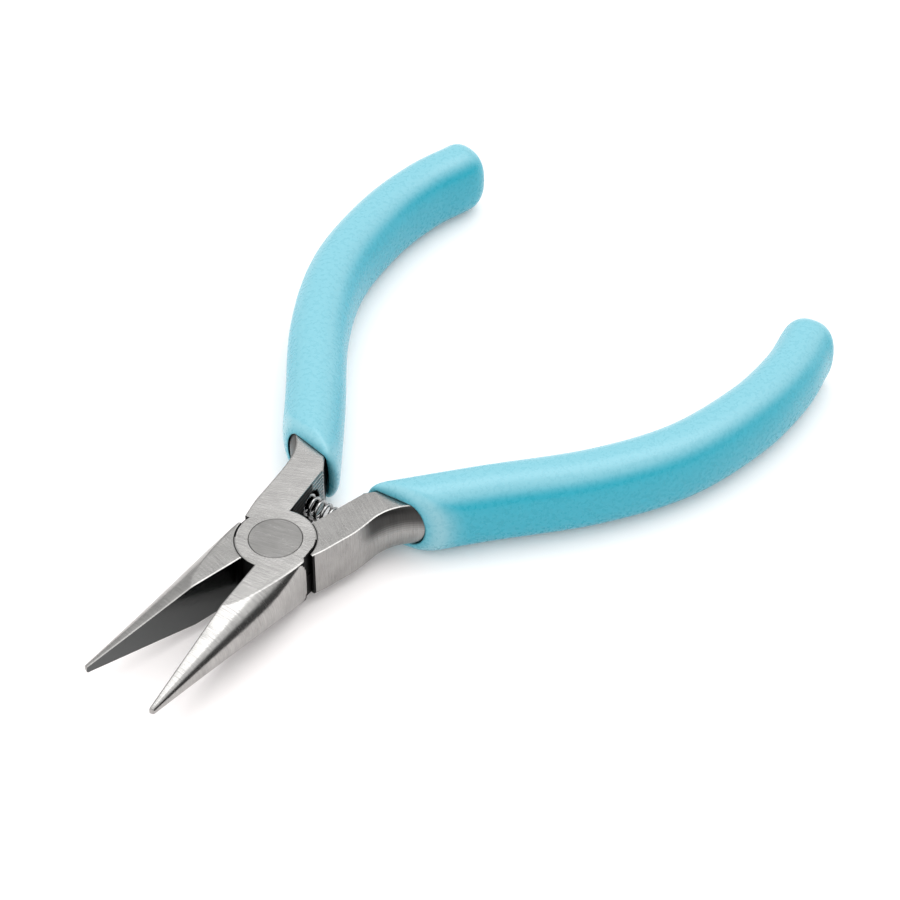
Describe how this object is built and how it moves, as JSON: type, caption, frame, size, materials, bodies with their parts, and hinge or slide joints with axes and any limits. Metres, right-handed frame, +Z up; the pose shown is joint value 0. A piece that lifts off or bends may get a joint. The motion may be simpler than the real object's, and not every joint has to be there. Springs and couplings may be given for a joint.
{
  "type": "jewellery pliers",
  "caption": "Small long-nosed pliers with half-round jaws, a riveted lap joint, a coil return spring and blue cushioned grips, lying flat and partly open.",
  "frame": {"origin": "middle of the tool's length and width, at the level of the surface it lies on", "axes": "+Y runs from the jaws to the handles, +Z is up along the pivot axis, +X is across the handles"},
  "size_m": [0.0852, 0.1258, 0.0125],
  "materials": {
    "jaw_steel": "satin ground tool steel",
    "rivet_steel": "ground flush",
    "spring_wire": "bright drawn wire",
    "grip_vinyl": "semi-gloss soft vinyl"
  },
  "bodies": {
    "upper_half": {"jaw_handle_upper": "jaw_steel", "grip_left": "grip_vinyl", "pivot_rivet": "rivet_steel", "return_spring": "spring_wire"},
    "lower_half": {"jaw_handle_lower": "jaw_steel", "grip_right": "grip_vinyl"}
  },
  "joints": [
    {"name": "squeeze", "type": "hinge", "parent": "upper_half", "child": "lower_half", "pos_m": [0, -0.02879, 0.00625], "axis": [0, 0, 1], "range_deg": [-10, 20], "stiffness_Nm_per_rad": 0.25, "deforming": ["return_spring"]}
  ]
}
